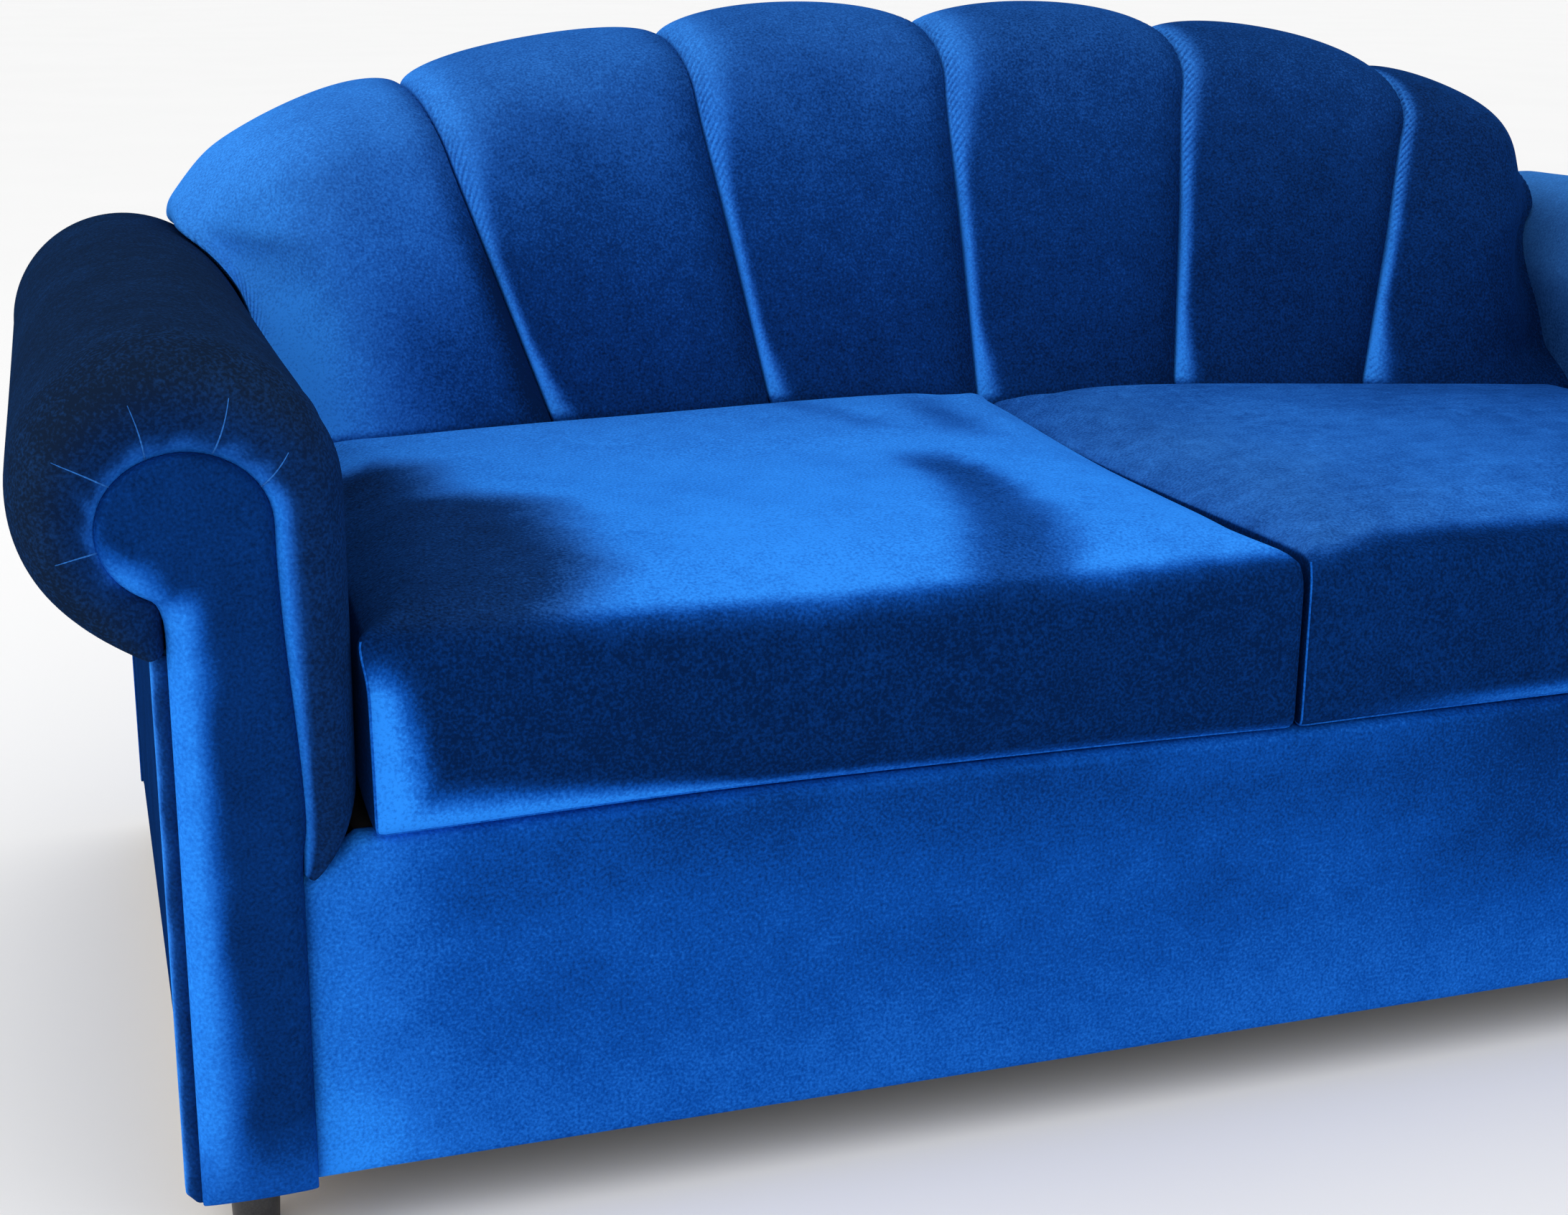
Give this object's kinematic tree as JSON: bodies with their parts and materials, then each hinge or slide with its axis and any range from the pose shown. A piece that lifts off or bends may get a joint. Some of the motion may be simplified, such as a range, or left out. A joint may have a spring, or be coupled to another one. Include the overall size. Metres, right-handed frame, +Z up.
{
  "type": "sofa",
  "caption": "Velvet sofa with a fanned channel back under an arched top, rolled scroll arms, loose box seat cushions, a deep plain front rail and short round feet.",
  "frame": {"origin": "on the floor, under the middle of the sofa's overall box", "axes": "+Z up, the sofa's front faces -Y, +X to the right of someone who looks at its front"},
  "size_m": [1.87, 0.8964, 0.8194],
  "materials": {
    "blue_velvet": "short brushed pile",
    "pine": "planed, raw",
    "plywood": "sawn, raw",
    "spring_steel": "oiled wire and strip",
    "screw_steel": "zinc plated",
    "platform_cloth": "plain weave",
    "black_cloth": "thin non-woven cloth",
    "black_plastic": "moulded, satin"
  },
  "bodies": {
    "base": {"arm_front_board_left": "plywood", "arm_front_board_right": "plywood", "arm_front_panel_left": "blue_velvet", "arm_front_panel_right": "blue_velvet", "arm_pad_left": "blue_velvet", "arm_pad_right": "blue_velvet", "arm_rear_board_left": "plywood", "arm_rear_board_right": "plywood", "arm_rear_panel_left": "blue_velvet", "arm_rear_panel_right": "blue_velvet", "arm_top_rail_left": "pine", "arm_top_rail_right": "pine", "back_board": "plywood", "back_channel_1": "blue_velvet", "back_channel_2": "blue_velvet", "back_channel_3": "blue_velvet", "back_channel_4": "blue_velvet", "back_channel_5": "blue_velvet", "back_channel_6": "blue_velvet", "back_post_left": "pine", "back_post_right": "pine", "centre_stretcher": "pine", "corner_block_1": "pine", "corner_block_2": "pine", "corner_block_3": "pine", "corner_block_4": "pine", "crest_rail": "pine", "dust_cover": "black_cloth", "foot_front_left": "black_plastic", "foot_front_right": "black_plastic", "foot_rear_left": "black_plastic", "foot_rear_right": "black_plastic", "foot_screw_front_left": "screw_steel", "foot_screw_front_right": "screw_steel", "foot_screw_rear_left": "screw_steel", "foot_screw_rear_right": "screw_steel", "front_rail": "pine", "front_rail_panel": "blue_velvet", "outer_back_panel": "blue_velvet", "outside_arm_left": "blue_velvet", "outside_arm_right": "blue_velvet", "rear_base_rail": "pine", "seat_deck": "platform_cloth", "seat_spring_1": "spring_steel", "seat_spring_2": "spring_steel", "seat_spring_3": "spring_steel", "seat_spring_4": "spring_steel", "seat_spring_5": "spring_steel", "seat_spring_6": "spring_steel", "seat_spring_7": "spring_steel", "seat_spring_8": "spring_steel", "side_rail_left": "pine", "side_rail_right": "pine", "spring_rail": "pine", "spring_strip_front": "spring_steel", "spring_strip_rear": "spring_steel"},
    "left_cushion": {"seat_cushion_left": "blue_velvet"},
    "right_cushion": {"seat_cushion_right": "blue_velvet"}
  },
  "joints": [
    {"name": "left_cushion_lift", "type": "slide", "parent": "base", "child": "left_cushion", "axis": [0, 0, 1], "range_m": [0, 0.42]},
    {"name": "right_cushion_lift", "type": "slide", "parent": "base", "child": "right_cushion", "axis": [0, 0, 1], "range_m": [0, 0.42]}
  ]
}
